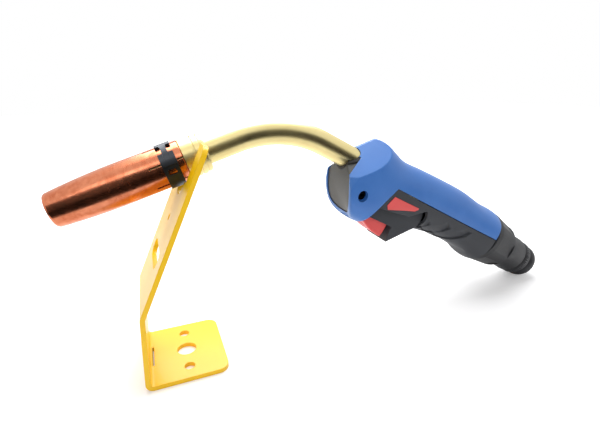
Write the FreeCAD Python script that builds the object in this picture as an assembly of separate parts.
"""Gas-metal-arc welding torch lying in its bent sheet-steel bench rest, one STEP file per piece.

Row frame: millimetres, +Z up, origin on the bench at the centre of the rest's large base hole.
+X runs from the rest towards the handle, and the torch lies in the plane y = 0.

Four working frames are used.
The row frame holds the rest.
The neck frame starts where the neck axis crosses the strut, with +X rearwards along the front of the neck.
The handle frame starts where the neck enters the handle, with +X rearwards along the handle.
The rear frame starts inside the handle, where its axis begins to droop towards the cable.
"""
import FreeCAD, Part
import math
import os
from FreeCAD import Vector, Rotation, Placement

# Bench rest
REST_WIDTH = 60.0
SHEET = 3.0
BASE_LENGTH = 52.0
BASE_HOLE_FROM_FLANGE = 27.5
FLANGE_HEIGHT = 50.0
FLANGE_LEAN = 3.2
STRUT_TILT = 25.1
STRUT_LENGTH = 106.8
BASE_CORNER_R = 7.0
PRONG_CORNER_R = 6.0
BEND_INSIDE_R = 2.0
LARGE_HOLE_R = 6.4
SMALL_HOLE_R = 3.4
SMALL_HOLE_SPACING = 37.5
BEND_RELIEF_LENGTH = 20.0
BEND_RELIEF_DEPTH = 3.0
STRUT_SLOT_LENGTH = 34.0
STRUT_SLOT_HEIGHT = 11.0
STRUT_SLOT_ALONG = 31.0
STRUT_HOLE_R = 2.3
STRUT_HOLE_ALONG = 56.0
SEAT_ALONG = 95.7
NOTCH_RELIEF_WIDTH = 18.0
NOTCH_RELIEF_DEPTH = 24.3
NOTCH_SIDE_GAP = 1.0
NOTCH_CORNER_R = 2.0

# Clearances
REST_GAP = 0.3
RUNNING_GAP = 0.05
STATIC_GAP = 0.03
SPLIT_GAP = 0.1
TRIGGER_SIDE_GAP = 0.4

# Front end, stations along the neck frame
NOZZLE_LENGTH = 77.2
NOZZLE_REAR = -4.2
NOZZLE_R = 12.6
NOZZLE_WALL = 1.65
NOZZLE_MOUTH_DROP = 2.3
NOZZLE_MOUTH_WALL = 1.9
NOZZLE_MOUTH_R = NOZZLE_R - NOZZLE_MOUTH_DROP
NOZZLE_TAPER_LENGTH = 45.0
NOZZLE_BORE_R = NOZZLE_MOUTH_R - NOZZLE_MOUTH_WALL
NOZZLE_BORE_STEP = 12.0
NOZZLE_RIM = 1.0
NOZZLE_REAR_CHAMFER = 0.6
SLIT_COUNT = 6
SLIT_LENGTH = 20.7
SLIT_WIDTH = 1.1
SLIT_FIRST_ANGLE = 12.0
CLAMP_WIDTH = 9.0
CLAMP_THICKNESS = 0.9
CLAMP_LAP = 0.7
CLAMP_FROM_REAR = 4.2
CLAMP_TONGUE_WIDTH = 3.4
CLAMP_TONGUE_ANGLES = (22.0, 48.0)
CLAMP_FORK_END = 80.0
CLAMP_WINDOW_ANGLES = (90.0, 104.0)
CLAMP_WINDOW_WIDTH = 4.8
CLAMP_MOUTH_ANGLE = -18.0
CLAMP_MOUTH_GAP = 1.0
CLAMP_LUG = 2.2
CLAMP_LUG_SPREAD = 3.2
CLAMP_LUG_SET_BACK = 4.0
SEAT_R = NOZZLE_R - NOZZLE_WALL - RUNNING_GAP
SEAT_LENGTH = 24.2
SEAT_CHAMFER = 0.6
RING_SET_IN = 0.1
RING_R = NOZZLE_R - RING_SET_IN
FLANGE_THICKNESS = 6.8
COLLAR_LENGTH = 7.2
GROOVE_WIDTH = 0.9
GROOVE_DEPTH = 1.0
TIP_LENGTH = 28.0
TIP_R = 4.0
TIP_NOSE_R = 2.4
TIP_NOSE_LENGTH = 7.0
TIP_THREAD_LENGTH = 6.0
TIP_BORE_R = 0.6
TIP_RECESS = 6.0
HOLDER_CHAMFER = 1.5
TIP_THREAD_DEPTH = 1.0
HOLDER_FLAT_DEPTH = 0.9
HOLDER_FLAT_LENGTH = 9.0
SPIGOT_LENGTH = 8.0
DIFFUSER_SET_IN = 1.7
DIFFUSER_R = SEAT_R - DIFFUSER_SET_IN
DIFFUSER_LENGTH = 15.0
DIFFUSER_GAP = 0.5
DIFFUSER_CHAMFER = 1.0
DIFFUSER_WALL = 2.57
HOLDER_R = DIFFUSER_R - DIFFUSER_WALL - STATIC_GAP
DIFFUSER_HOLES = 8
DIFFUSER_HOLE_R = 1.0

# Swan neck
NECK_R = 8.2
NECK_WALL = 1.4
NECK_FRONT_RUN = 30.0
NECK_BEND_R = 76.0
NECK_BEND = 45.8
NECK_REAR_RUN = 33.7
NECK_FRONT_END = -12.0
CONDUIT_PAST_NECK = 2.0
NECK_IN_HANDLE = 44.0
CONDUIT_R = 4.2
CONDUIT_BORE_R = 2.4
CONDUIT_IN_HANDLE = 70.0

# Handle, stations along the handle frame
WALL = 2.6
SECTION_POWER = 2.5
SECTION_POINTS = 16
SEAM_Z = -4.9
PANEL_TOP = Vector(27.0, 0, SEAM_Z)
PANEL_FOOT = Vector(11.6, 0, -39.5)
FACE_TOP = Vector(-15.5, 0, 17.0)
FACE_MIDDLE = Vector(-13.0, 0, -11.0)
FACE_FOOT = Vector(9.0, 0, -38.0)
FACE_RECESS = 1.0
FACE_TOP_LEAN = 3.0
PANEL_REACH = 1.6
PLUG_REAR = 14.0
RIM_FRONT_HALF_WIDTH = 16.2
RIM_FRONT = -15.5
RIM_REAR = -5.5
RIM_AHEAD = 20.0
SEAL_WIDTH = 2.0
SEAL_R = NECK_R + SEAL_WIDTH
SEAL_LENGTH = 5.0
SEAL_PROUD = 1.5
NECK_CLAMP_FRONT = 20.0
NECK_CLAMP_REAR = 40.0
NECK_CLAMP_FOOT = -14.0
SCREW_X = 2.0
SCREW_Z = -20.1
SCREW_R = 1.9
SCREW_HOLE_R = 2.05
SCREW_HEAD_R = 3.3
SCREW_HEAD_HEIGHT = 2.2
SCREW_HEAD_ROUND = 0.7
SCREW_BOSS_R = 5.2
SCREW_BOSS_INNER = 11.0
HEX_KEY_R = 1.5
HEX_KEY_DEPTH = 1.4
RECESS_R = 3.7
RECESS_FLOOR = 16.0
NUT_R = 3.4
NUT_RECESS_R = 3.8
NUT_HEIGHT = 2.7
BADGE_THICKNESS = 0.9
BADGE_PROUD = 0.3
BADGE_DEPTH = 16.0
TOP_PLUG_X = 19.0
TOP_PLUG_LENGTH = 8.0
TOP_PLUG_WIDTH = 4.5
TOP_PLUG_FLOOR = 12.0
TOP_PLUG_PROUD = 0.4

# Stations of the handle's outer form: x, top, bottom, half width
HANDLE_STATIONS = (
    (-22.0, 8.0, -35.0, 18.0),
    (-7.0, 16.0, -37.0, 20.2),
    (4.0, 20.8, -38.6, 21.0),
    (14.0, 20.4, -39.4, 20.8),
    (27.0, 16.9, -38.0, 19.9),
    (45.0, 17.1, -33.0, 18.8),
    (62.0, 18.1, -28.0, 18.2),
    (80.0, 18.8, -25.2, 18.0),
    (100.0, 18.9, -24.4, 18.3),
    (122.0, 18.4, -25.6, 19.8),
    (146.0, 17.3, -28.8, 22.6),
)

# Bare badge plate on the near side of the panel
BADGE_FRONT = Vector(27.2, 0, -10.9)
BADGE_TIP = Vector(53.0, 0, -10.5)
BADGE_TIP_HEIGHT = 1.2
BADGE_TURN = Vector(50.6, 0, -13.9)
BADGE_FOOT = Vector(26.6, 0, -21.0)
BADGE_CORNER = 2.4

# Cable union inside the handle
UNION_ACROSS_FLATS = 18.0
UNION_LENGTH = 14.0
UNION_TAIL = 16.0
UNION_TAIL_R = 6.5
UNION_BARBS = 2
UNION_BARB_PITCH = 5.0
UNION_BARB_HEIGHT = 0.7

# Ledge of the side panel over the trigger housing
LEDGE_FRONT = Vector(24.0, 0, -21.9)
LEDGE_MIDDLE = Vector(49.0, 0, -19.2)
LEDGE_REAR = Vector(62.0, 0, -9.4)
LEDGE_BULGE = Vector(66.6, 0, -17.5)
LEDGE_FOOT = Vector(64.5, 0, -28.4)

# Guard behind the trigger
GUARD_SHOULDER = Vector(64.6, 0, -17.5)
GUARD_ROOT = Vector(62.4, 0, -26.4)
GUARD_BACK = Vector(52.3, 0, -36.4)
GUARD_TIP = Vector(44.8, 0, -44.0)
SCALLOP_FOOT = Vector(43.4, 0, -43.6)
SCALLOP_MIDDLE = Vector(42.3, 0, -37.5)
SCALLOP_TOP_X = 41.9

# Finger grooves under the grip
FINGER_STATIONS = (84.0, 103.0, 122.0)
FINGER_R = 15.0
FINGER_DEPTH = 1.6

# Trigger housing and trigger
HOUSING_HALF_WIDTH = 13.4
HOUSING_WALL = 2.6
HOUSING_ROUND = 2.0
HOUSING_FRONT = 12.2
HOUSING_TOP = -17.4
HOUSING_FLOOR = -31.8
TRIGGER_PIVOT = Vector(23.5, 0, -28.2)
TRIGGER_PIN_R = 1.5
TRIGGER_PIN_HOLD = 1.5
TRIGGER_HALF_WIDTH = HOUSING_HALF_WIDTH - HOUSING_WALL - TRIGGER_SIDE_GAP
TRIGGER_FRONT = 19.8
TRIGGER_REAR = 39.8
TRIGGER_TOP = -31.4
TRIGGER_TOE = Vector(19.5, 0, -36.8)
TRIGGER_BELLY = Vector(30.6, 0, -41.2)
TRIGGER_HEEL = Vector(38.8, 0, -42.3)
TRIGGER_ROUND = 1.2
TRIGGER_BOSS_R = 3.2
TRIGGER_EAR = 3.6
TRIGGER_EAR_INNER = 4.4
TRIGGER_RIB_STATIONS = (24.0, 27.5, 31.0, 34.5)
TRIGGER_RIB_R = 0.6
TRIGGER_RIB_HALF_LENGTH = 6.5
POCKET_FRONT = 17.6
POCKET_REAR = 41.0
POCKET_CEILING = -27.3
PIN_CEILING = -24.6
SPRING_R = 3.0
SPRING_WELL_R = 4.2
SPRING_WIRE_R = 0.45
SPRING_GAP = 0.6
SPRING_TURNS = 3
SWITCH_LENGTH = 13.0
SWITCH_HEIGHT = 9.5
SWITCH_HALF_WIDTH = 3.2
SWITCH_FRONT = 29.5
SWITCH_FLOOR = -27.4
SWITCH_FIT = 0.1
SWITCH_PIN_R = 1.0
SWITCH_PIN_STATIONS = (2.0, 11.0)
SWITCH_PIN_HEIGHT = 7.6
TERMINAL_STATIONS = (4.0, 7.2)
TERMINAL_THICKNESS = 0.8
TERMINAL_HALF_WIDTH = 1.2
TERMINAL_HEIGHT = 3.0
WIRE_WAY = (3.0, 9.0)
WIRE_WAY_HALF_WIDTH = 2.0
PLUNGER_X = 35.0
PLUNGER_R = 1.3
PLUNGER_LENGTH = 7.0
PLUNGER_NOSE = 0.5

# Rear end, stations along the rear frame
REAR_START = 100.0
REAR_START_Z = -3.6
REAR_DROOP = 3.2
HANDLE_END = 40.5
SLEEVE_R = 17.5
SLEEVE_WALL = 4.5
SLEEVE_BORE_R = SLEEVE_R - SLEEVE_WALL
SLEEVE_INSIDE = 14.0
SLEEVE_OUTSIDE = 19.4
SLEEVE_CHAMFER = 0.5
SLEEVE_FLANGE = (2.0, 11.0)
RING_GAP = 0.8
LOCK_RING_LENGTH = 30.2
LOCK_RING_FRONT_WALL = 5.3
LOCK_RING_REAR_WALL = 2.7
LOCK_RING_FRONT_R = SLEEVE_R + LOCK_RING_FRONT_WALL
LOCK_RING_REAR_R = SLEEVE_R + LOCK_RING_REAR_WALL
LOCK_RING_BAND = 5.0
LOCK_RING_CHAMFER = 2.5
LOCK_RING_FLATS = 6
FLAT_FIRST_ANGLE = 30.0
FLAT_DEPTH = 1.1
FLAT_HALF_WIDTH = 7.4
SWIVEL_FLANGE = 4.0
SWIVEL_FLANGE_GAP = 0.25
SWIVEL_STEP_IN = 2.5
SWIVEL_NECK_R = SLEEVE_R - SWIVEL_STEP_IN
SWIVEL_R = 16.4
SWIVEL_MIDDLE_R = 15.9
SWIVEL_END_R = 14.9
SWIVEL_LENGTH = 46.2
SWIVEL_STEP_1 = 21.7
SWIVEL_STEP_2 = 30.9
SWIVEL_GROOVE = 1.6
SWIVEL_GROOVE_DEPTH = 1.6
SWIVEL_ROUND = 6.5
CABLE_BORE_R = 8.0

X_AXIS = Vector(1, 0, 0)
Y_AXIS = Vector(0, 1, 0)
Z_AXIS = Vector(0, 0, 1)
FAR = 200.0
END_OVERRUN = 6.0
TINY = 0.01
SAME_POINT = 1e-6
SLOPE_LIMITS = (-20.0, 60.0)
SLOPE_STEPS = 60
PAST = 1.0


def sind(angle):
    return math.sin(math.radians(angle))


def cosd(angle):
    return math.cos(math.radians(angle))


def tand(angle):
    return math.tan(math.radians(angle))


def wire_of(points):
    """Closed wire through Vectors. A tuple (middle, end) in the list is an arc from the point before it."""
    edges = []
    last = points[0]
    for item in list(points[1:]) + [points[0]]:
        if isinstance(item, tuple):
            middle, end = item
            edges.append(Part.Arc(last, middle, end).toShape())
            last = end
        elif item.distanceToPoint(last) > SAME_POINT:
            edges.append(Part.LineSegment(last, item).toShape())
            last = item
    return Part.Wire(edges)


def revolved(points):
    """Solid of revolution about X from a profile of Vectors in the XZ plane."""
    return Part.Face(wire_of(points)).revolve(Vector(), X_AXIS, 360)


def turned(*stations):
    """Solid of revolution about X from (x, radius) pairs, closed along the axis or its own inner line."""
    return revolved([Vector(x, 0, r) for x, r in stations])


def cylinder(radius, start, end, axis=X_AXIS, centre=Vector()):
    return Part.makeCylinder(radius, end - start, centre + axis * start, axis)


def prism(points, half_width, centre=0.0):
    """Profile in the XZ plane, extruded along Y."""
    face = Part.Face(wire_of(points))
    face.translate(Vector(0, centre - half_width, 0))
    return face.extrude(Vector(0, 2 * half_width, 0))


def box(x, y, z):
    """Box from its (low, high) pairs."""
    return Part.makeBox(x[1] - x[0], y[1] - y[0], z[1] - z[0], Vector(x[0], y[0], z[0]))


def p(x, z):
    return Vector(x, 0, z)


def on_x(shape, angle):
    """Copy turned about X."""
    copy = shape.copy()
    copy.rotate(Vector(), X_AXIS, angle)
    return copy


def fused(shapes):
    result = shapes[0].fuse(list(shapes[1:]))
    return result.removeSplitter()


def single(shape, name):
    """The one solid of a result, checked."""
    solids = shape.Solids
    if len(solids) != 1 or not solids[0].isValid():
        print("CHECK", name, "solids", len(solids), [round(s.Volume, 2) for s in solids])
    return solids[0] if len(solids) == 1 else shape


# Placement of the neck and handle frames
strut_direction = Vector(sind(STRUT_TILT), 0, cosd(STRUT_TILT))
strut_normal = Vector(-cosd(STRUT_TILT), 0, sind(STRUT_TILT))
flange_foot = Vector(-BASE_HOLE_FROM_FLANGE, 0, 0)
kink = flange_foot + Vector(FLANGE_HEIGHT * tand(FLANGE_LEAN), 0, FLANGE_HEIGHT)
seat_point = kink + strut_direction * SEAT_ALONG
swivel_start = HANDLE_END + RING_GAP + LOCK_RING_LENGTH
swivel_end = swivel_start + REST_GAP + SWIVEL_LENGTH
REAR_IN_HANDLE = Placement(Vector(REAR_START, 0, REAR_START_Z), Rotation(Y_AXIS, REAR_DROOP))


def handle_in_neck():
    """Placement of the handle frame in the neck frame."""
    bend_end = Vector(NECK_FRONT_RUN + NECK_BEND_R * sind(NECK_BEND), 0, -NECK_BEND_R * (1 - cosd(NECK_BEND)))
    rearwards = Vector(cosd(NECK_BEND), 0, -sind(NECK_BEND))
    return Placement(bend_end + rearwards * NECK_REAR_RUN, Rotation(Y_AXIS, NECK_BEND))


def neck_in_row(slope):
    """Placement of the neck frame in the row frame, with the front of the neck rising rearwards by slope."""
    return Placement(seat_point, Rotation(Y_AXIS, -slope))


def lowest_point(slope):
    """Height over the bench of the swivel's rounded end."""
    frame = neck_in_row(slope).multiply(handle_in_neck()).multiply(REAR_IN_HANDLE)
    centre = frame.multVec(p(swivel_end - SWIVEL_ROUND, 0))
    down = NECK_BEND + REAR_DROOP - slope
    return centre.z - (SWIVEL_END_R - SWIVEL_ROUND) * cosd(down) - SWIVEL_ROUND


def resting_slope():
    """Slope of the front of the neck at which the swivel just touches the bench."""
    low, high = SLOPE_LIMITS
    for _ in range(SLOPE_STEPS):
        middle = (low + high) / 2
        if lowest_point(middle) > 0:
            high = middle
        else:
            low = middle
    return high


neck_slope = resting_slope()
NECK_FRAME = neck_in_row(neck_slope)
HANDLE_FRAME = NECK_FRAME.multiply(handle_in_neck())
REAR_FRAME = HANDLE_FRAME.multiply(REAR_IN_HANDLE)


# Bench rest
def rest_bracket():
    outer = [p(BASE_LENGTH - BASE_HOLE_FROM_FLANGE, 0), flange_foot, kink, kink + strut_direction * STRUT_LENGTH]
    lean_normal = Vector(cosd(FLANGE_LEAN), 0, -sind(FLANGE_LEAN))
    inward = -strut_normal

    def crossing(a, u, b, v):
        det = u.x * v.z - u.z * v.x
        k = ((b.x - a.x) * v.z - (b.z - a.z) * v.x) / det
        return a + u * k

    lean_direction = kink - flange_foot
    heel = crossing(p(0, SHEET), X_AXIS, flange_foot + lean_normal * SHEET, lean_direction)
    knee = crossing(flange_foot + lean_normal * SHEET, lean_direction, kink + inward * SHEET, strut_direction)
    inner = [outer[3] + inward * SHEET, knee, heel, p(BASE_LENGTH - BASE_HOLE_FROM_FLANGE, SHEET)]
    body = prism(outer + inner, REST_WIDTH / 2)

    def bend(shape, point, radius):
        edges = [e for e in shape.Edges if abs(e.Length - REST_WIDTH) < TINY
                 and e.CenterOfMass.distanceToPoint(point) < TINY]
        return shape.makeFillet(radius, edges)

    body = bend(body, outer[1], BEND_INSIDE_R + SHEET)
    body = bend(body, heel, BEND_INSIDE_R)
    body = bend(body, outer[2], BEND_INSIDE_R + SHEET)
    body = bend(body, knee, BEND_INSIDE_R)

    front_x = BASE_LENGTH - BASE_HOLE_FROM_FLANGE
    corners = [e for e in body.Edges if abs(e.Length - SHEET) < TINY and abs(e.CenterOfMass.x - front_x) < TINY]
    body = body.makeFillet(BASE_CORNER_R, corners)
    tip = outer[3] + inward * (SHEET / 2)
    corners = [e for e in body.Edges if abs(e.Length - SHEET) < TINY
               and Vector(e.CenterOfMass.x, 0, e.CenterOfMass.z).distanceToPoint(tip) < TINY]
    body = body.makeFillet(PRONG_CORNER_R, corners)

    cuts = [cylinder(LARGE_HOLE_R, -SHEET, 2 * SHEET, Z_AXIS)]
    for side in (-1, 1):
        cuts.append(cylinder(SMALL_HOLE_R, -SHEET, 2 * SHEET, Z_AXIS, Vector(0, side * SMALL_HOLE_SPACING / 2, 0)))
    cuts.append(box((-BASE_HOLE_FROM_FLANGE - PAST, -BASE_HOLE_FROM_FLANGE + BEND_RELIEF_DEPTH + SHEET),
                    (-BEND_RELIEF_LENGTH / 2, BEND_RELIEF_LENGTH / 2), (-PAST, BEND_RELIEF_DEPTH)))

    # The cuts through the strut are made in its own plane, x' along Y and y' up the strut.
    strut_frame = Placement(kink, Rotation(Y_AXIS, strut_direction, -strut_normal))

    def through(shape):
        shape.Placement = strut_frame
        return shape

    def round_hole(radius, across, along):
        return through(Part.makeCylinder(radius, 4 * SHEET, Vector(across, along, -2 * SHEET)))

    def straight_slot(half_width, low, high):
        return through(Part.makeBox(2 * half_width, high - low, 4 * SHEET, Vector(-half_width, low, -2 * SHEET)))

    slot_r = STRUT_SLOT_HEIGHT / 2
    slot_run = STRUT_SLOT_LENGTH / 2 - slot_r
    cuts.append(straight_slot(slot_run, STRUT_SLOT_ALONG - slot_r, STRUT_SLOT_ALONG + slot_r))
    cuts.append(round_hole(slot_r, -slot_run, STRUT_SLOT_ALONG))
    cuts.append(round_hole(slot_r, slot_run, STRUT_SLOT_ALONG))
    cuts.append(round_hole(STRUT_HOLE_R, 0, STRUT_HOLE_ALONG))
    notch = Part.makeBox(2 * notch_half_width, STRUT_LENGTH + PAST - notch_floor, 4 * SHEET,
                         Vector(-notch_half_width, notch_floor, -2 * SHEET))
    lower_corners = [e for e in notch.Edges if abs(e.Length - 4 * SHEET) < TINY
                     and abs(e.CenterOfMass.y - notch_floor) < TINY]
    cuts.append(through(notch.makeFillet(NOTCH_CORNER_R, lower_corners)))
    relief_r = NOTCH_RELIEF_WIDTH / 2
    relief_centre = SEAT_ALONG - NOTCH_RELIEF_DEPTH + relief_r
    cuts.append(round_hole(relief_r, 0, relief_centre))
    cuts.append(straight_slot(relief_r, relief_centre, notch_floor + PAST))
    return body.cut(cuts)


# The strut crosses the neck at a slant, so the clamp band, the widest thing there, is an ellipse in its plane.
# The band rests on the inner ends of two flat shoulders, one each side of the narrower relief.
notch_lean = STRUT_TILT + neck_slope
clamp_r = NOZZLE_R + STATIC_GAP + CLAMP_THICKNESS
notch_half_width = clamp_r + NOTCH_SIDE_GAP
seated_r = clamp_r + REST_GAP
shoulder_depth = math.sqrt(seated_r ** 2 - (NOTCH_RELIEF_WIDTH / 2) ** 2) / cosd(notch_lean)
notch_floor = SEAT_ALONG - shoulder_depth


# Front end, in the neck frame
nozzle_front = NOZZLE_REAR - NOZZLE_LENGTH
tip_front = nozzle_front + TIP_RECESS
tip_rear = tip_front + TIP_LENGTH
seat_front = NOZZLE_REAR - SEAT_LENGTH
diffuser_rear = seat_front - DIFFUSER_GAP
diffuser_front = diffuser_rear - DIFFUSER_LENGTH
collar_front = NOZZLE_REAR + FLANGE_THICKNESS
collar_rear = collar_front + COLLAR_LENGTH
clamp_rear = NOZZLE_REAR - CLAMP_FROM_REAR
clamp_middle = clamp_rear - CLAMP_WIDTH / 2
conduit_front = NECK_FRONT_END - CONDUIT_PAST_NECK


def gas_nozzle():
    taper_end = nozzle_front + NOZZLE_TAPER_LENGTH
    drop = NOZZLE_R - NOZZLE_MOUTH_R
    barrel_mid = p(nozzle_front + NOZZLE_TAPER_LENGTH / 2, NOZZLE_R - drop / 4)
    bore = SEAT_R + RUNNING_GAP
    body = revolved([
        p(nozzle_front, NOZZLE_BORE_R),
        p(nozzle_front, NOZZLE_MOUTH_R - NOZZLE_RIM / 2),
        p(nozzle_front + NOZZLE_RIM, NOZZLE_MOUTH_R),
        (barrel_mid, p(taper_end, NOZZLE_R)),
        p(NOZZLE_REAR - NOZZLE_REAR_CHAMFER, NOZZLE_R),
        p(NOZZLE_REAR, NOZZLE_R - NOZZLE_REAR_CHAMFER),
        p(NOZZLE_REAR, bore),
        p(seat_front - PAST, bore),
        p(nozzle_front + NOZZLE_BORE_STEP, NOZZLE_BORE_R),
    ])
    slit = box((NOZZLE_REAR - SLIT_LENGTH, NOZZLE_REAR + PAST), (-SLIT_WIDTH / 2, SLIT_WIDTH / 2),
               (bore - PAST, NOZZLE_R + PAST))
    return body.cut([on_x(slit, SLIT_FIRST_ANGLE + k * 360 / SLIT_COUNT) for k in range(SLIT_COUNT)])


def band_sector(inner, outer, angles, low, high):
    """Piece of a ring about X between two angles and two stations, angles from the top towards the near side."""
    ring = cylinder(outer, low, high).cut(cylinder(inner, low - PAST, high + PAST))
    return ring.common(prism_sector(angles[0], angles[1], outer, low, high))


def nozzle_clamp():
    """Spring band whose T-shaped tongue hooks through its forked end."""
    inner = NOZZLE_R + STATIC_GAP
    outer = inner + CLAMP_THICKNESS
    front = clamp_rear - CLAMP_WIDTH
    band = cylinder(outer, front, clamp_rear).cut(cylinder(inner, front - PAST, clamp_rear + PAST))
    half_tongue = CLAMP_TONGUE_WIDTH / 2
    cuts = []
    for low, high in ((front - PAST, clamp_middle - half_tongue), (clamp_middle + half_tongue, clamp_rear + PAST)):
        cuts.append(band_sector(inner - PAST, outer + PAST, CLAMP_TONGUE_ANGLES, low, high))
    half_window = CLAMP_WINDOW_WIDTH / 2
    cuts.append(band_sector(inner - PAST, outer + PAST, CLAMP_WINDOW_ANGLES,
                            clamp_middle - half_window, clamp_middle + half_window))
    mouth = box((front - PAST, clamp_rear + PAST), (-CLAMP_MOUTH_GAP / 2, CLAMP_MOUTH_GAP / 2),
                (inner - PAST, outer + PAST))
    cuts.append(on_x(mouth, CLAMP_MOUTH_ANGLE))
    band = band.cut(cuts)
    # The forked end laps over the tongue.
    fork_start = CLAMP_TONGUE_ANGLES[1]
    lap = band_sector(outer - STATIC_GAP, outer + CLAMP_LAP, (fork_start, CLAMP_FORK_END), front, clamp_rear)
    opening = band_sector(inner, outer + PAST, (fork_start - 1, (fork_start + CLAMP_FORK_END) / 2),
                          clamp_middle - half_tongue, clamp_middle + half_tongue)
    lap = lap.cut(opening)
    lugs = []
    for side in (-1, 1):
        x = clamp_middle + side * CLAMP_LUG_SPREAD
        lug = box((x - CLAMP_LUG / 2, x + CLAMP_LUG / 2), (-CLAMP_LUG / 2, CLAMP_LUG / 2),
                  (inner + CLAMP_THICKNESS / 2, outer + CLAMP_LAP))
        lugs.append(on_x(lug, CLAMP_TONGUE_ANGLES[0] - CLAMP_LUG_SET_BACK))
    return fused([band, lap] + lugs)


def prism_sector(start, end, radius, low, high):
    """Wedge about X between two angles, from the top towards the near side."""
    reach = radius / cosd((end - start) / 2) + PAST
    points = [Vector(low, 0, 0)]
    for angle in (start, (start + end) / 2, end):
        points.append(Vector(low, -sind(angle) * reach, cosd(angle) * reach))
    return Part.Face(wire_of(points)).extrude(Vector(high - low, 0, 0))


def nozzle_seat():
    """Insulated seat that the nozzle slides onto, with a stop ring behind it."""
    bore = NECK_R + STATIC_GAP
    small_bore = HOLDER_R + STATIC_GAP
    stop = NOZZLE_REAR + STATIC_GAP
    return turned(
        (seat_front, small_bore), (seat_front, SEAT_R - SEAT_CHAMFER), (seat_front + SEAT_CHAMFER, SEAT_R),
        (stop, SEAT_R), (stop, RING_R), (collar_front, RING_R), (collar_front, bore), (NECK_FRONT_END, bore),
        (NECK_FRONT_END, small_bore))


def neck_collar():
    bore = NECK_R + STATIC_GAP
    groove_r = RING_R - GROOVE_DEPTH
    rear_r = RING_R - GROOVE_DEPTH / 2
    first = collar_front + GROOVE_WIDTH
    middle = (collar_front + collar_rear) / 2
    return turned(
        (collar_front, bore), (collar_front, groove_r), (first, groove_r), (first, RING_R),
        (middle, RING_R), (middle, groove_r), (middle + GROOVE_WIDTH, groove_r), (middle + GROOVE_WIDTH, rear_r),
        (collar_rear - GROOVE_DEPTH, rear_r), (collar_rear, rear_r - GROOVE_DEPTH), (collar_rear, bore))


def neck_rod(radius, front, into_handle):
    """Round bar along the neck axis, in the neck frame."""
    disc = Part.Face(Part.Wire(Part.makeCircle(radius, p(NECK_FRONT_RUN, 0), X_AXIS)))
    arc = disc.revolve(p(NECK_FRONT_RUN, -NECK_BEND_R), Y_AXIS, NECK_BEND)
    straight = cylinder(radius, front, NECK_FRONT_RUN)
    rear = cylinder(radius, -NECK_REAR_RUN, into_handle)
    rear.Placement = handle_in_neck()
    return fused([straight, arc, rear])


def neck_tube():
    outer = neck_rod(NECK_R, NECK_FRONT_END + STATIC_GAP, NECK_IN_HANDLE)
    return outer.cut(neck_rod(NECK_R - NECK_WALL, NECK_FRONT_END - PAST, NECK_IN_HANDLE + PAST))


def inner_conduit():
    """Wire conduit that runs through the neck into the cable union."""
    outer = neck_rod(CONDUIT_R, conduit_front, CONDUIT_IN_HANDLE)
    return outer.cut(neck_rod(CONDUIT_BORE_R, conduit_front - PAST, CONDUIT_IN_HANDLE + PAST))


def tip_holder():
    """Holder that the contact tip screws into, with wrench flats and a spigot in the neck tube."""
    spigot_r = NECK_R - NECK_WALL - STATIC_GAP
    spigot_end = NECK_FRONT_END + SPIGOT_LENGTH
    thread_r = TIP_R - TIP_THREAD_DEPTH + STATIC_GAP
    chamfer = min(HOLDER_CHAMFER, (HOLDER_R - thread_r) / 2)
    conduit_r = CONDUIT_R + STATIC_GAP
    conduit_stop = conduit_front - STATIC_GAP
    tip_stop = tip_rear + STATIC_GAP
    front = tip_rear - TIP_THREAD_LENGTH
    body = turned(
        (front, thread_r), (front, HOLDER_R - chamfer), (front + chamfer, HOLDER_R),
        (NECK_FRONT_END, HOLDER_R), (NECK_FRONT_END, spigot_r), (spigot_end, spigot_r), (spigot_end, conduit_r),
        (conduit_stop, conduit_r), (conduit_stop, CONDUIT_BORE_R), (tip_stop, CONDUIT_BORE_R), (tip_stop, thread_r))
    flat = box((front - PAST, front + HOLDER_FLAT_LENGTH), (-FAR, FAR), (HOLDER_R - HOLDER_FLAT_DEPTH, FAR))
    return body.cut([flat, on_x(flat, 180)])


def gas_diffuser():
    bore = HOLDER_R + STATIC_GAP
    body = turned(
        (diffuser_front, bore), (diffuser_front, DIFFUSER_R - DIFFUSER_CHAMFER),
        (diffuser_front + DIFFUSER_CHAMFER, DIFFUSER_R), (diffuser_rear, DIFFUSER_R), (diffuser_rear, bore))
    middle = p((diffuser_front + diffuser_rear) / 2, 0)
    hole = cylinder(DIFFUSER_HOLE_R, HOLDER_R - PAST, DIFFUSER_R + PAST, Z_AXIS, middle)
    return body.cut([on_x(hole, k * 360 / DIFFUSER_HOLES) for k in range(DIFFUSER_HOLES)])


def contact_tip():
    """Drilled copper tip, with a tapered nose and a threaded rear end."""
    thread = TIP_R - TIP_THREAD_DEPTH
    shoulder = tip_rear - TIP_THREAD_LENGTH - STATIC_GAP
    return turned(
        (tip_front, TIP_BORE_R), (tip_front, TIP_NOSE_R), (tip_front + TIP_NOSE_LENGTH, TIP_R),
        (shoulder, TIP_R), (shoulder, thread), (tip_rear, thread), (tip_rear, TIP_BORE_R))


# Handle, in the handle frame
def section(x, top, bottom, half_width, inset):
    """Closed rounded section of the handle at one station."""
    centre = (top + bottom) / 2
    height = (top - bottom) / 2 - inset
    width = half_width - inset
    points = []
    for k in range(SECTION_POINTS):
        angle = 360.0 * k / SECTION_POINTS
        c, s = cosd(angle), sind(angle)
        y = width * math.copysign(abs(c) ** (2 / SECTION_POWER), c)
        z = centre + height * math.copysign(abs(s) ** (2 / SECTION_POWER), s)
        points.append(Vector(x, y, z))
    curve = Part.BSplineCurve()
    curve.interpolate(Points=points, PeriodicFlag=True)
    return Part.Wire([curve.toShape()])


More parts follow.
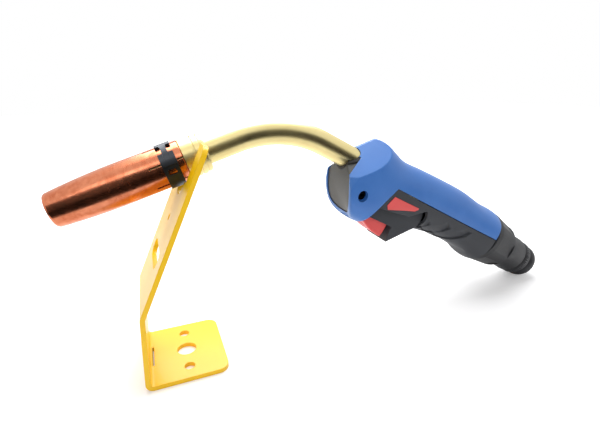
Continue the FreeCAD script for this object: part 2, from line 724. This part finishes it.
def handle_form(inset, lengthen=0.0):
    """Solid outer form of the handle, drawn in by inset and carried on past both ends."""
    stations = list(HANDLE_STATIONS)
    x, top, bottom, half_width = stations[-1]
    if lengthen:
        stations.append((x + lengthen, top, bottom, half_width))
        first = stations[0]
        stations.insert(0, (first[0] - lengthen, first[1] - lengthen / 2, first[2], first[3]))
    return Part.makeLoft([section(*station, inset) for station in stations], True, False)


def in_rear_frame(shape):
    """Copy moved from the rear frame into the handle frame."""
    return place(shape, REAR_IN_HANDLE)


def before_rear_end():
    """Everything in front of the handle's rear end, which is square to the drooping axis."""
    return in_rear_frame(box((-2 * FAR, HANDLE_END), (-FAR, FAR), (-FAR, FAR)))


def behind_face(recess):
    """Everything behind the convex front face, set back by recess."""
    back = Vector(recess, 0, 0)
    points = [FACE_TOP + back, (FACE_MIDDLE + back, FACE_FOOT + back), p(FACE_FOOT.x + recess, -FAR), p(FAR, -FAR),
              p(FAR, FAR), p(FACE_TOP.x + recess - FACE_TOP_LEAN, FAR)]
    return prism(points, FAR)


def rim_bevel():
    """Plan outline whose front corners give the head its bevelled rim."""
    full = 2 * HANDLE_STATIONS[2][3]
    slope = (HANDLE_STATIONS[2][3] - RIM_FRONT_HALF_WIDTH) / (RIM_REAR - RIM_FRONT)
    far_x = RIM_REAR + (full - HANDLE_STATIONS[2][3]) / slope
    front = RIM_FRONT_HALF_WIDTH - RIM_AHEAD * slope
    points = [Vector(RIM_FRONT - RIM_AHEAD, -front, -FAR), Vector(far_x, -full, -FAR), Vector(FAR, -full, -FAR),
              Vector(FAR, full, -FAR), Vector(far_x, full, -FAR), Vector(RIM_FRONT - RIM_AHEAD, front, -FAR)]
    return Part.Face(wire_of(points)).extrude(Vector(0, 0, 2 * FAR))


def front_region(gap=0.0):
    """Region of the blue shells: the whole upper half, and the head in front of the slanted panel edge."""
    line = PANEL_FOOT - PANEL_TOP
    foot = PANEL_TOP + line * PANEL_REACH
    return prism([p(-FAR, FAR), p(FAR, FAR), p(FAR, SEAM_Z + gap), p(PANEL_TOP.x - gap, SEAM_Z + gap),
                  p(foot.x - gap, foot.z), p(-FAR, foot.z)], FAR)


def housing_region(grow=0.0):
    """Side area under the panel ledge, where the narrower trigger housing shows."""
    return prism([p(-FAR, LEDGE_FRONT.z - grow), p(LEDGE_FRONT.x, LEDGE_FRONT.z - grow),
                  p(LEDGE_MIDDLE.x, LEDGE_MIDDLE.z - grow), p(LEDGE_REAR.x, LEDGE_REAR.z - grow),
                  (p(LEDGE_BULGE.x + grow, LEDGE_BULGE.z), p(LEDGE_FOOT.x + grow, LEDGE_FOOT.z)),
                  p(LEDGE_FOOT.x + grow, -FAR), p(-FAR, -FAR)], FAR)


def screw_bore(radius, start, end):
    return cylinder(radius, start, end, Y_AXIS, p(SCREW_X, SCREW_Z))


def on_side(side, inner, outer=FAR):
    """Slab on one side of the middle plane, -1 for the near side."""
    return box((-FAR, FAR), (inner, outer) if side > 0 else (-outer, -inner), (-FAR, FAR))


def handle_skin():
    """Hollow outer form of the whole handle, open at both ends."""
    outer = handle_form(0.0).common(behind_face(0.0)).common(rim_bevel()).common(before_rear_end())
    return outer, outer.cut(handle_form(WALL, END_OVERRUN))


def handle_shell(skin, outer, side):
    """One blue shell, with its half of the screw boss."""
    shell = skin.common(front_region(SPLIT_GAP)).common(on_side(side, SPLIT_GAP / 2))
    boss = screw_bore(SCREW_BOSS_R, -FAR, FAR).common(outer).common(on_side(side, SCREW_BOSS_INNER))
    sink_r = RECESS_R if side < 0 else NUT_RECESS_R
    sink = screw_bore(sink_r, -FAR, FAR).common(on_side(side, RECESS_FLOOR))
    return shell.fuse(boss).cut([screw_bore(SCREW_HOLE_R, -FAR, FAR), sink, top_plug_form(SPLIT_GAP),
                                 housing_form(SPLIT_GAP)])


def grip(skin):
    """Dark lower half of the handle, with the finger grooves and the badge's recess."""
    shape = skin.cut(front_region()).cut(housing_region(SPLIT_GAP))
    recess = badge_form(SPLIT_GAP).cut(handle_form(BADGE_THICKNESS + RUNNING_GAP))
    fingers = []
    for x in FINGER_STATIONS:
        fingers.append(cylinder(FINGER_R, -FAR, FAR, Y_AXIS, p(x, bottom_at(x) + FINGER_DEPTH - FINGER_R)))
    return shape.cut([recess] + fingers)


def badge_plate():
    """Bare inlaid plate, a little proud of the panel."""
    return badge_form(0.0).common(handle_form(-BADGE_PROUD)).cut(handle_form(BADGE_THICKNESS))


def front_plug():
    """Grey insert that fills the head's open front round the neck."""
    plug = handle_form(WALL + SPLIT_GAP, END_OVERRUN).common(behind_face(FACE_RECESS))
    plug = plug.common(box((-FAR, PLUG_REAR), (-FAR, FAR), (-FAR, FAR)))
    boss = screw_bore(SCREW_BOSS_R + SPLIT_GAP, -FAR, FAR)
    cuts = [cylinder(NECK_R + STATIC_GAP, -FAR, FAR), cylinder(SEAL_R, -FAR, plug_seat()),
            screw_bore(SCREW_HOLE_R, -FAR, FAR)]
    for side in (-1, 1):
        cuts.append(boss.common(on_side(side, SCREW_BOSS_INNER - SPLIT_GAP)))
    return plug.cut(housing_form(SPLIT_GAP)).cut(cuts)


def make_handle_parts():
    outer, skin = handle_skin()
    return {
        "handle_shell_left": handle_shell(skin, outer, -1),
        "handle_shell_right": handle_shell(skin, outer, 1),
        "grip": grip(skin),
        "badge_plate": badge_plate(),
        "front_plug": front_plug(),
    }


def bottom_at(x):
    """Bottom of the handle's form between its stations."""
    for (x0, _, z0, _), (x1, _, z1, _) in zip(HANDLE_STATIONS, HANDLE_STATIONS[1:]):
        if x0 <= x <= x1:
            return z0 + (z1 - z0) * (x - x0) / (x1 - x0)
    return HANDLE_STATIONS[-1][2]


def plug_seat():
    """Floor of the seal's recess in the front plug."""
    return FACE_MIDDLE.x + FACE_RECESS + SEAL_LENGTH


def badge_form(grow):
    """Side outline of the bare badge plate, through the near side of the panel."""
    points = [p(BADGE_FRONT.x - grow, BADGE_FRONT.z + grow), p(BADGE_TIP.x + grow, BADGE_TIP.z + grow),
              p(BADGE_TIP.x + grow, BADGE_TIP.z - BADGE_TIP_HEIGHT), p(BADGE_TURN.x, BADGE_TURN.z - grow),
              p(BADGE_FOOT.x, BADGE_FOOT.z - grow), p(BADGE_FOOT.x - BADGE_CORNER - grow, BADGE_FOOT.z + BADGE_CORNER)]
    return prism(points, BADGE_DEPTH / 2, -HANDLE_STATIONS[4][3])


def top_plug_form(grow):
    """Round-ended slot over the head, from inside the shell to the outside."""
    half = TOP_PLUG_LENGTH / 2 - TOP_PLUG_WIDTH / 2
    r = TOP_PLUG_WIDTH / 2 + grow
    ends = [cylinder(r, TOP_PLUG_FLOOR, FAR, Z_AXIS, p(TOP_PLUG_X + side * half, 0)) for side in (-1, 1)]
    return fused(ends + [box((TOP_PLUG_X - half, TOP_PLUG_X + half), (-r, r), (TOP_PLUG_FLOOR, FAR))])


def top_plug():
    return top_plug_form(0.0).common(handle_form(-TOP_PLUG_PROUD)).cut(handle_form(WALL))


def neck_seal():
    """Dark ring round the neck, proud of the grey face."""
    front = FACE_MIDDLE.x + FACE_RECESS - SEAL_PROUD
    rear = plug_seat() - STATIC_GAP
    outside = SEAL_R - STATIC_GAP
    return turned((front, NECK_R + STATIC_GAP), (front, outside - SEAL_PROUD / 2), (front + SEAL_PROUD / 2, outside),
                  (rear, outside), (rear, NECK_R + STATIC_GAP))


def neck_clamp():
    """Block inside the head that holds the neck tube between the shells."""
    block = box((NECK_CLAMP_FRONT, NECK_CLAMP_REAR), (-FAR, FAR), (NECK_CLAMP_FOOT, FAR))
    form = handle_form(WALL + SPLIT_GAP).common(block)
    return form.cut([cylinder(NECK_R + STATIC_GAP, -FAR, FAR), top_plug_form(REST_GAP)])


def cable_adaptor():
    """Hexagon union behind the neck tube, where the cable's core is screwed on."""
    start = NECK_IN_HANDLE + STATIC_GAP
    corner = UNION_ACROSS_FLATS / 2 / cosd(30)
    hexagon = [Vector(start, corner * cosd(60 * k), corner * sind(60 * k)) for k in range(6)]
    body = Part.Face(wire_of(hexagon)).extrude(Vector(UNION_LENGTH, 0, 0))
    tail_end = start + UNION_LENGTH + UNION_TAIL
    tail = cylinder(UNION_TAIL_R, start + UNION_LENGTH - PAST, tail_end)
    barbs = []
    for k in range(UNION_BARBS):
        front = tail_end - (k + 1) * UNION_BARB_PITCH
        barbs.append(turned((front, 0), (front, UNION_TAIL_R + UNION_BARB_HEIGHT), (front + UNION_BARB_PITCH - PAST, UNION_TAIL_R),
                            (front + UNION_BARB_PITCH - PAST, 0)))
    return fused([body, tail] + barbs).cut(cylinder(CONDUIT_R + STATIC_GAP, start - PAST, tail_end + PAST))


# Trigger housing, in the handle frame
def housing_form(grow):
    """Side outline of the housing with its curved guard behind the trigger."""
    front = HOUSING_FRONT - grow
    top = HOUSING_TOP + grow
    floor = HOUSING_FLOOR - grow
    profile = [p(front, top), p(LEDGE_MIDDLE.x, top), p(LEDGE_REAR.x, LEDGE_REAR.z - SPLIT_GAP),
               (p(GUARD_SHOULDER.x, GUARD_SHOULDER.z), p(GUARD_ROOT.x + grow, GUARD_ROOT.z)),
               (p(GUARD_BACK.x, GUARD_BACK.z - grow), p(GUARD_TIP.x, GUARD_TIP.z - grow)),
               p(SCALLOP_FOOT.x, SCALLOP_FOOT.z - grow), (SCALLOP_MIDDLE, p(SCALLOP_TOP_X, floor)), p(front, floor)]
    return prism(profile, HOUSING_HALF_WIDTH + grow)


def trigger_housing():
    body = housing_form(0.0)
    guard_edges = [e for e in body.Edges if abs(abs(e.CenterOfMass.y) - HOUSING_HALF_WIDTH) < TINY
                   and e.CenterOfMass.z < HOUSING_FLOOR and e.CenterOfMass.x > GUARD_TIP.x]
    body = body.makeFillet(HOUSING_ROUND, guard_edges)
    inner = HOUSING_HALF_WIDTH - HOUSING_WALL
    pin_rear = TRIGGER_PIVOT.x + TRIGGER_BOSS_R + 2 * PAST
    pocket = prism([p(POCKET_FRONT, -FAR), p(POCKET_FRONT, PIN_CEILING), p(pin_rear, PIN_CEILING),
                    p(pin_rear, POCKET_CEILING), p(POCKET_REAR, POCKET_CEILING), p(POCKET_REAR, HOUSING_FLOOR - PAST),
                    p(TRIGGER_HEEL.x, -FAR)], inner)
    switch = box((SWITCH_FRONT - SWITCH_FIT, SWITCH_FRONT + SWITCH_LENGTH + SWITCH_FIT),
                 (-SWITCH_HALF_WIDTH - SWITCH_FIT, SWITCH_HALF_WIDTH + SWITCH_FIT),
                 (SWITCH_FLOOR - PAST, SWITCH_FLOOR + SWITCH_HEIGHT + SWITCH_FIT))
    wire_way = box((SWITCH_FRONT + WIRE_WAY[0], SWITCH_FRONT + WIRE_WAY[1]), (-WIRE_WAY_HALF_WIDTH, WIRE_WAY_HALF_WIDTH),
                   (SWITCH_FLOOR, FAR))
    hold = inner + TRIGGER_PIN_HOLD + SPLIT_GAP
    pin = cylinder(TRIGGER_PIN_R + STATIC_GAP, -hold, hold, Y_AXIS, TRIGGER_PIVOT)
    return body.cut([pocket, switch, wire_way, pin])


def trigger():
    """Red paddle hung on two ears, with cross ribs on its pressed face."""
    heel_mid = p(TRIGGER_REAR, (TRIGGER_TOP + TRIGGER_HEEL.z) / 2)
    paddle = prism([p(TRIGGER_FRONT, TRIGGER_TOP), p(TRIGGER_REAR, TRIGGER_TOP), (heel_mid, TRIGGER_HEEL),
                    (TRIGGER_BELLY, TRIGGER_TOE)], TRIGGER_HALF_WIDTH)
    rounded = [e for e in paddle.Edges if abs(abs(e.CenterOfMass.y) - TRIGGER_HALF_WIDTH) < TINY
               and e.CenterOfMass.z < TRIGGER_TOE.z]
    paddle = paddle.makeFillet(TRIGGER_ROUND, rounded)
    ears = []
    r = TRIGGER_BOSS_R
    for side in (-1, 1):
        middle = side * (TRIGGER_EAR_INNER + TRIGGER_EAR / 2)
        boss = cylinder(r, middle - TRIGGER_EAR / 2, middle + TRIGGER_EAR / 2, Y_AXIS, TRIGGER_PIVOT)
        drop = TRIGGER_TOP - TRIGGER_PIVOT.z - STATIC_GAP
        web = prism([TRIGGER_PIVOT + p(-r, drop), TRIGGER_PIVOT + p(-r, 0), TRIGGER_PIVOT + p(r, 0),
                     TRIGGER_PIVOT + p(r, drop)], TRIGGER_EAR / 2, middle)
        ears += [boss, web]
    body = fused([paddle] + ears)
    well = cylinder(SPRING_WELL_R, -TRIGGER_EAR_INNER, TRIGGER_EAR_INNER, Y_AXIS, TRIGGER_PIVOT)
    half = TRIGGER_RIB_HALF_LENGTH
    ribs = [cylinder(TRIGGER_RIB_R, -half, half, Y_AXIS, p(x, pressed_face_at(x))) for x in TRIGGER_RIB_STATIONS]
    return body.cut([cylinder(TRIGGER_PIN_R + RUNNING_GAP, -FAR, FAR, Y_AXIS, TRIGGER_PIVOT), well] + ribs)


def pressed_face_at(x):
    """Height of the paddle's pressed face, on the arc through its toe, belly and heel."""
    circle = Part.Arc(TRIGGER_TOE, TRIGGER_BELLY, TRIGGER_HEEL).toShape().Curve
    return circle.Center.z - math.sqrt(circle.Radius ** 2 - (x - circle.Center.x) ** 2)


def trigger_pin():
    reach = HOUSING_HALF_WIDTH - HOUSING_WALL + TRIGGER_PIN_HOLD
    return cylinder(TRIGGER_PIN_R, -reach, reach, Y_AXIS, TRIGGER_PIVOT)


def trigger_spring():
    """Torsion spring round the pin."""
    pitch = 2 * SPRING_WIRE_R + SPRING_GAP
    height = pitch * SPRING_TURNS
    radius = SPRING_R - SPRING_WIRE_R
    helix = Part.makeHelix(pitch, height, radius)
    section_wire = Part.Wire(Part.makeCircle(SPRING_WIRE_R, Vector(radius, 0, 0), Y_AXIS))
    coil = Part.Wire(helix).makePipeShell([section_wire], True, True)
    coil.rotate(Vector(), X_AXIS, -90)
    coil.translate(TRIGGER_PIVOT - Vector(0, height / 2, 0))
    return coil


def switch_body():
    top = SWITCH_FLOOR + SWITCH_HEIGHT
    body = box((SWITCH_FRONT, SWITCH_FRONT + SWITCH_LENGTH), (-SWITCH_HALF_WIDTH, SWITCH_HALF_WIDTH), (SWITCH_FLOOR, top))
    bore = cylinder(PLUNGER_R + RUNNING_GAP, SWITCH_FLOOR - PAST, SWITCH_FLOOR + PLUNGER_LENGTH, Z_AXIS, p(PLUNGER_X, 0))
    pin_z = SWITCH_FLOOR + SWITCH_PIN_HEIGHT
    pin_holes = [cylinder(SWITCH_PIN_R, -FAR, FAR, Y_AXIS, p(SWITCH_FRONT + x, pin_z)) for x in SWITCH_PIN_STATIONS]
    terminals = [box((SWITCH_FRONT + x, SWITCH_FRONT + x + TERMINAL_THICKNESS),
                     (-TERMINAL_HALF_WIDTH, TERMINAL_HALF_WIDTH), (top, top + TERMINAL_HEIGHT))
                 for x in TERMINAL_STATIONS]
    return fused([body] + terminals).cut([bore] + pin_holes)


def plunger_rest():
    """Tip of the plunger, just over the paddle."""
    return TRIGGER_TOP + REST_GAP


def switch_plunger():
    tip = plunger_rest()
    stem = cylinder(PLUNGER_R, tip + PLUNGER_NOSE, tip + PLUNGER_LENGTH, Z_AXIS, p(PLUNGER_X, 0))
    cone = Part.makeCone(PLUNGER_R - PLUNGER_NOSE, PLUNGER_R, PLUNGER_NOSE, p(PLUNGER_X, tip), Z_AXIS)
    return fused([stem, cone])


def handle_screw():
    """Screw through both shells and the grey insert, with a hexagon socket."""
    head_floor = -RECESS_FLOOR - STATIC_GAP
    start = head_floor - SCREW_HEAD_HEIGHT
    head = screw_bore(SCREW_HEAD_R, start, head_floor)
    outer_edge = [e for e in head.Edges if abs(e.CenterOfMass.y - start) < TINY]
    head = head.makeFillet(SCREW_HEAD_ROUND, outer_edge[:1])
    shaft = screw_bore(SCREW_R, start + HEX_KEY_DEPTH, RECESS_FLOOR + NUT_HEIGHT)
    key = [Vector(SCREW_X + HEX_KEY_R * cosd(60 * k), start - PAST, SCREW_Z + HEX_KEY_R * sind(60 * k))
           for k in range(6)]
    socket = Part.Face(wire_of(key)).extrude(Vector(0, HEX_KEY_DEPTH + PAST, 0))
    return fused([head, shaft]).cut(socket)


def handle_nut():
    start = RECESS_FLOOR + STATIC_GAP
    corners = [Vector(SCREW_X + NUT_R * cosd(60 * k), start, SCREW_Z + NUT_R * sind(60 * k)) for k in range(6)]
    nut = Part.Face(wire_of(corners)).extrude(Vector(0, NUT_HEIGHT, 0))
    return nut.cut(screw_bore(SCREW_R + STATIC_GAP, -FAR, FAR))


# Rear end, in the rear frame
sleeve_end = HANDLE_END + SLEEVE_OUTSIDE
ring_front = HANDLE_END + RING_GAP
flange_front = sleeve_end + REST_GAP
flange_rear = flange_front + SWIVEL_FLANGE
lip_front = flange_rear + REST_GAP


def rear_sleeve():
    """Threaded sleeve whose flange the shells grip, and on which the lock ring turns."""
    start = HANDLE_END - SLEEVE_INSIDE
    edge = SLEEVE_R - SLEEVE_CHAMFER
    body = turned((start, SLEEVE_BORE_R), (start, edge), (start + SLEEVE_CHAMFER, SLEEVE_R),
                  (sleeve_end - SLEEVE_CHAMFER, SLEEVE_R), (sleeve_end, edge), (sleeve_end, SLEEVE_BORE_R))
    slab = box((start + SLEEVE_FLANGE[0], start + SLEEVE_FLANGE[1]), (-FAR, FAR), (-FAR, FAR))
    flange = in_rear_frame(slab).common(handle_form(WALL + SPLIT_GAP, END_OVERRUN))
    flange = flange.cut(in_rear_frame(cylinder(SLEEVE_R - SLEEVE_CHAMFER, -FAR, FAR)))
    return fused([in_rear_frame(body), flange])


def lock_ring():
    """Turning ring with six shallow finger flats, whose lip traps the swivel's flange."""
    bore = SLEEVE_R + RUNNING_GAP
    lip = SWIVEL_NECK_R + REST_GAP
    end = swivel_start
    band_end = ring_front + LOCK_RING_BAND
    body = turned(
        (ring_front, bore), (ring_front, LOCK_RING_FRONT_R - SLEEVE_CHAMFER),
        (ring_front + SLEEVE_CHAMFER, LOCK_RING_FRONT_R), (band_end, LOCK_RING_FRONT_R),
        (end - LOCK_RING_CHAMFER, LOCK_RING_REAR_R), (end, LOCK_RING_REAR_R - LOCK_RING_CHAMFER), (end, lip),
        (lip_front, lip), (lip_front, bore))
    run = end - LOCK_RING_CHAMFER - band_end
    slant = math.degrees(math.atan2(LOCK_RING_FRONT_R - LOCK_RING_REAR_R, run))
    pad = box((band_end, end - LOCK_RING_CHAMFER), (-FLAT_HALF_WIDTH, FLAT_HALF_WIDTH),
              (LOCK_RING_FRONT_R - FLAT_DEPTH, FAR))
    pad.rotate(p(band_end, LOCK_RING_FRONT_R), Y_AXIS, slant)
    flats = [on_x(pad, FLAT_FIRST_ANGLE + k * 360 / LOCK_RING_FLATS) for k in range(LOCK_RING_FLATS)]
    return body.cut(flats)


def cable_swivel():
    """Cable support: a flanged neck trapped by the lock ring, and a stepped round end with the cable's bore."""
    start = swivel_start + REST_GAP
    step1 = start + SWIVEL_STEP_1
    step2 = start + SWIVEL_STEP_2
    groove_r = SWIVEL_MIDDLE_R - SWIVEL_GROOVE_DEPTH
    flange_r = SLEEVE_R - SWIVEL_FLANGE_GAP
    edge = SWIVEL_R - SLEEVE_CHAMFER
    end = swivel_end
    face_r = SWIVEL_END_R - SWIVEL_ROUND
    corner_mid = p(end - SWIVEL_ROUND * (1 - cosd(45)), face_r + SWIVEL_ROUND * sind(45))
    return revolved([
        p(flange_front, CABLE_BORE_R), p(flange_front, flange_r), p(flange_rear, flange_r),
        p(flange_rear, SWIVEL_NECK_R), p(start, SWIVEL_NECK_R), p(start, edge), p(start + SLEEVE_CHAMFER, SWIVEL_R),
        p(step1, SWIVEL_R), p(step1, groove_r), p(step1 + SWIVEL_GROOVE, groove_r),
        p(step1 + SWIVEL_GROOVE, SWIVEL_MIDDLE_R), p(step2, SWIVEL_MIDDLE_R), p(step2, groove_r),
        p(step2 + SWIVEL_GROOVE, groove_r), p(step2 + SWIVEL_GROOVE, SWIVEL_END_R),
        p(end - SWIVEL_ROUND, SWIVEL_END_R), (corner_mid, p(end, face_r)), p(end, CABLE_BORE_R)])


def place(shape, frame):
    """Copy of a shape moved from its working frame into the row frame."""
    copy = shape.copy()
    copy.Placement = frame.multiply(copy.Placement)
    return copy


def main():
    os.makedirs("parts", exist_ok=True)
    neck_parts = {
        "gas_nozzle": gas_nozzle(), "nozzle_clamp": nozzle_clamp(), "nozzle_seat": nozzle_seat(),
        "neck_collar": neck_collar(), "neck_tube": neck_tube(), "inner_conduit": inner_conduit(),
        "tip_holder": tip_holder(), "gas_diffuser": gas_diffuser(), "contact_tip": contact_tip(),
    }
    handle_parts = make_handle_parts()
    handle_parts.update({
        "neck_seal": neck_seal(), "neck_clamp": neck_clamp(), "cable_adaptor": cable_adaptor(), "top_plug": top_plug(),
        "trigger_housing": trigger_housing(), "trigger": trigger(), "trigger_pin": trigger_pin(),
        "trigger_spring": trigger_spring(), "switch_body": switch_body(), "switch_plunger": switch_plunger(),
        "handle_screw": handle_screw(), "handle_nut": handle_nut(), "rear_sleeve": rear_sleeve(),
    })
    rear_parts = {"lock_ring": lock_ring(), "cable_swivel": cable_swivel()}
    placed = {"rest_bracket": rest_bracket()}
    placed.update({name: place(shape, NECK_FRAME) for name, shape in neck_parts.items()})
    placed.update({name: place(shape, HANDLE_FRAME) for name, shape in handle_parts.items()})
    placed.update({name: place(shape, REAR_FRAME) for name, shape in rear_parts.items()})
    for name, shape in placed.items():
        single(shape, name).exportStep(os.path.join("parts", name + ".step"))
    report(placed)


def report(placed):
    """Print the places that the record needs."""
    handle_slope = NECK_BEND - neck_slope
    print("neck slope", round(neck_slope, 3), "handle slope", round(handle_slope, 3), "notch floor", round(notch_floor, 3))
    rearwards = HANDLE_FRAME.Rotation.multVec(X_AXIS)
    forwards = NECK_FRAME.Rotation.multVec(X_AXIS)
    print("handle axis", rearwards, "neck axis", forwards, "strut", strut_direction)
    print("rear axis", REAR_FRAME.Rotation.multVec(X_AXIS), "handle up", HANDLE_FRAME.Rotation.multVec(Z_AXIS))
    print("pieces", len(placed), "lowest", round(min(s.BoundBox.ZMin for s in placed.values()), 4))
    for name, frame, point in (
            ("trigger pivot", HANDLE_FRAME, TRIGGER_PIVOT), ("plunger", HANDLE_FRAME, p(PLUNGER_X, plunger_rest())),
            ("ring centre", REAR_FRAME, p(ring_front, 0)), ("swivel end", REAR_FRAME, p(swivel_end, 0)),
            ("nozzle rear", NECK_FRAME, p(NOZZLE_REAR, 0)), ("nozzle mouth", NECK_FRAME, p(nozzle_front, 0)),
            ("tip front", NECK_FRAME, p(tip_front, 0)), ("seat", NECK_FRAME, p(0, 0))):
        place_in_row = frame.multVec(point)
        print(name, round(place_in_row.x, 3), round(place_in_row.y, 3), round(place_in_row.z, 3))


main()
